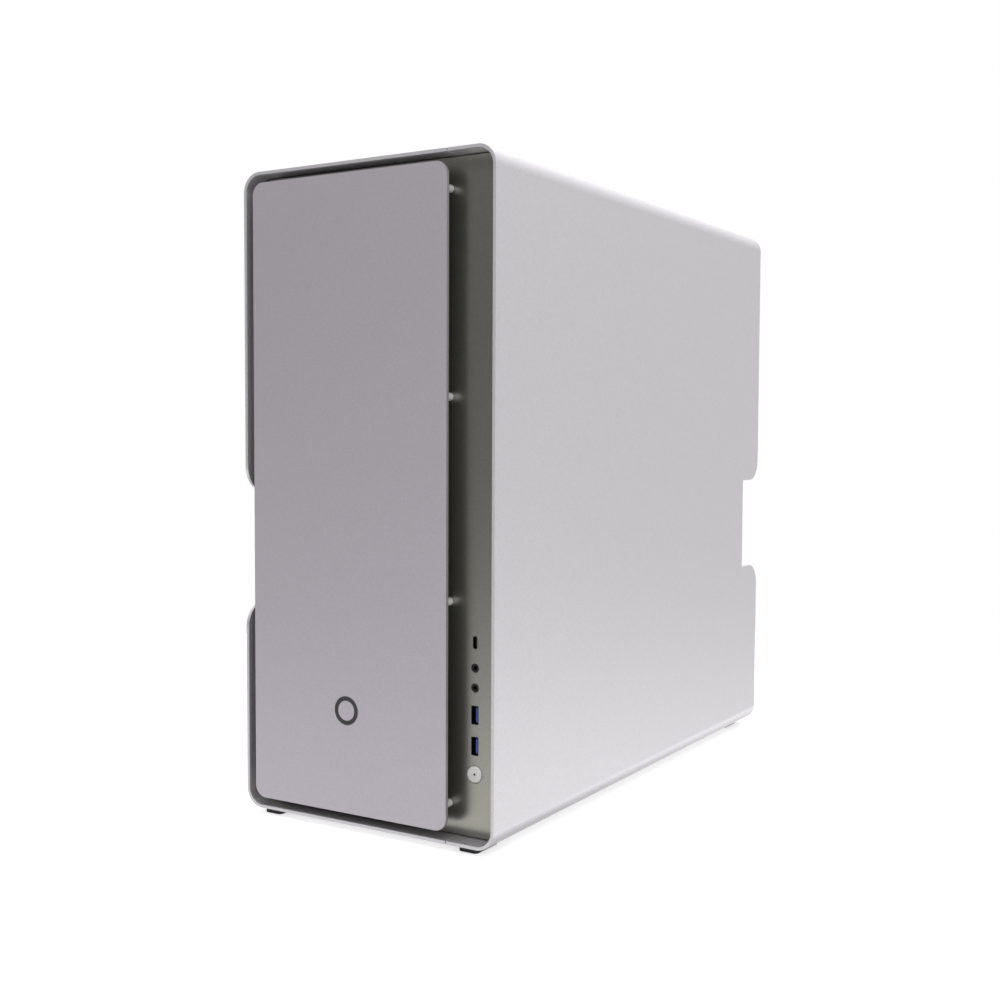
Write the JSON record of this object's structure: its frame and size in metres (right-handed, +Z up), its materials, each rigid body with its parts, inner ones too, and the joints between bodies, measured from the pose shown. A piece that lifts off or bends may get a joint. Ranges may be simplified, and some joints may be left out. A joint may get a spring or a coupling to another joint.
{
  "type": "desktop computer tower",
  "caption": "Upright desktop computer with two U-shaped aluminium covers, a front plate on stand-off studs, a side strip of ports and a round power button.",
  "frame": {"origin": "middle of the footprint, on the ground under the feet", "axes": "+Z up; -Y is the front with the plate and ports; +X is the right-hand side seen from the front"},
  "size_m": [0.23, 0.5164, 0.5015],
  "materials": {
    "shell_aluminium": "bead-blasted silver anodising, satin",
    "plate_aluminium": "bead-blasted silver anodising, satin",
    "panel_aluminium": "bead-blasted grey anodising, satin",
    "button_aluminium": "satin anodised, turned face",
    "badge_print": "matt black inlay",
    "stud_steel": "nickel-plated, satin",
    "port_steel": "nickel-plated sheet",
    "jack_plastic": "moulded, matt",
    "foot_rubber": "matt rubber",
    "chassis_steel": "zinc-plated sheet steel",
    "board_laminate": "solder-masked glass laminate",
    "fan_plastic": "moulded, matt",
    "rotor_plastic": "moulded, satin",
    "fin_aluminium": "bare sheet aluminium",
    "black_metal": "fine-texture powder coat",
    "black_plastic": "moulded, fine texture",
    "cable_sleeve": "braided sleeve"
  },
  "bodies": {
    "chassis": {"chassis_floor": "chassis_steel", "chassis_roof": "chassis_steel", "motherboard_tray": "chassis_steel", "rear_panel": "chassis_steel", "front_panel": "panel_aluminium", "usb_a_socket_upper": "port_steel", "usb_a_socket_lower": "port_steel", "usb_c_socket": "port_steel", "audio_jack_upper": "jack_plastic", "audio_jack_lower": "jack_plastic", "front_io_board": "board_laminate", "power_switch": "black_plastic", "front_fan_1_frame": "fan_plastic", "front_fan_2_frame": "fan_plastic", "front_fan_3_frame": "fan_plastic", "rear_fan_frame": "fan_plastic", "cooler_fan_frame": "fan_plastic", "motherboard": "board_laminate", "rear_io_ports": "port_steel", "io_shield": "port_steel", "cpu_cooler": "fin_aluminium", "memory_module_1": "black_metal", "memory_module_2": "black_metal", "graphics_board": "board_laminate", "graphics_shroud": "black_plastic", "slot_covers": "chassis_steel", "psu_case": "black_metal", "psu_inlet": "black_plastic", "drive_cradle": "chassis_steel", "hard_drive": "fin_aluminium", "solid_state_drive": "black_metal", "main_power_plug": "black_plastic", "main_power_cable": "cable_sleeve", "front_io_cable": "cable_sleeve"},
    "left_cover": {"left_shell": "shell_aluminium", "foot_front_left": "foot_rubber", "foot_rear_left": "foot_rubber"},
    "right_cover": {"right_shell": "shell_aluminium", "foot_front_right": "foot_rubber", "foot_rear_right": "foot_rubber"},
    "front_cover": {"front_plate": "plate_aluminium", "front_badge": "badge_print", "plate_stud_left_1": "stud_steel", "plate_stud_left_2": "stud_steel", "plate_stud_left_3": "stud_steel", "plate_stud_left_4": "stud_steel", "plate_stud_right_1": "stud_steel", "plate_stud_right_2": "stud_steel", "plate_stud_right_3": "stud_steel", "plate_stud_right_4": "stud_steel"},
    "button": {"power_button": "button_aluminium"},
    "mains_rocker": {"psu_rocker": "black_plastic"},
    "front_fan_1_rotor": {"front_fan_1_rotor": "rotor_plastic"},
    "front_fan_2_rotor": {"front_fan_2_rotor": "rotor_plastic"},
    "front_fan_3_rotor": {"front_fan_3_rotor": "rotor_plastic"},
    "rear_fan_rotor": {"rear_fan_rotor": "rotor_plastic"},
    "cooler_fan_rotor": {"cooler_fan_rotor": "rotor_plastic"},
    "graphics_fan_1": {"graphics_fan_1": "rotor_plastic"},
    "graphics_fan_2": {"graphics_fan_2": "rotor_plastic"},
    "psu_fan_rotor": {"psu_fan_rotor": "rotor_plastic"}
  },
  "joints": [
    {"name": "left_cover_slide", "type": "slide", "parent": "chassis", "child": "left_cover", "axis": [-1, 0, 0], "range_m": [0, 0.2]},
    {"name": "right_cover_slide", "type": "slide", "parent": "chassis", "child": "right_cover", "axis": [1, 0, 0], "range_m": [0, 0.06]},
    {"name": "front_cover_pull", "type": "slide", "parent": "chassis", "child": "front_cover", "axis": [0, -1, 0], "range_m": [0, 0.03]},
    {"name": "power_button_press", "type": "slide", "parent": "chassis", "child": "button", "axis": [0, 1, 0], "range_m": [0, 0.0018], "stiffness_N_per_m": 600, "springref_m": -0.0005},
    {"name": "mains_rocker_tilt", "type": "hinge", "parent": "chassis", "child": "mains_rocker", "pos_m": [0.002, 0.20895, 0.039], "axis": [1, 0, 0], "range_deg": [0, 16]},
    {"name": "front_fan_1_spin", "type": "hinge", "parent": "chassis", "child": "front_fan_1_rotor", "pos_m": [-0.0158, -0.22895, 0.1327], "axis": [0, 1, 0], "continuous": true},
    {"name": "front_fan_2_spin", "type": "hinge", "parent": "chassis", "child": "front_fan_2_rotor", "pos_m": [-0.0158, -0.22895, 0.253], "axis": [0, 1, 0], "continuous": true},
    {"name": "front_fan_3_spin", "type": "hinge", "parent": "chassis", "child": "front_fan_3_rotor", "pos_m": [-0.0158, -0.22895, 0.3733], "axis": [0, 1, 0], "continuous": true},
    {"name": "rear_fan_spin", "type": "hinge", "parent": "chassis", "child": "rear_fan_rotor", "pos_m": [-0.042, 0.19595, 0.355], "axis": [0, 1, 0], "continuous": true},
    {"name": "cooler_fan_spin", "type": "hinge", "parent": "chassis", "child": "cooler_fan_rotor", "pos_m": [-0.02215, 0.05545, 0.345], "axis": [0, 1, 0], "continuous": true},
    {"name": "graphics_fan_1_spin", "type": "hinge", "parent": "chassis", "child": "graphics_fan_1", "pos_m": [-0.001, -0.00535, 0.2387], "axis": [0, 0, 1], "continuous": true},
    {"name": "graphics_fan_2_spin", "type": "hinge", "parent": "chassis", "child": "graphics_fan_2", "pos_m": [-0.001, 0.08965, 0.2387], "axis": [0, 0, 1], "continuous": true},
    {"name": "psu_fan_spin", "type": "hinge", "parent": "chassis", "child": "psu_fan_rotor", "pos_m": [-0.013, 0.12995, 0.0858], "axis": [0, 0, 1], "continuous": true}
  ]
}
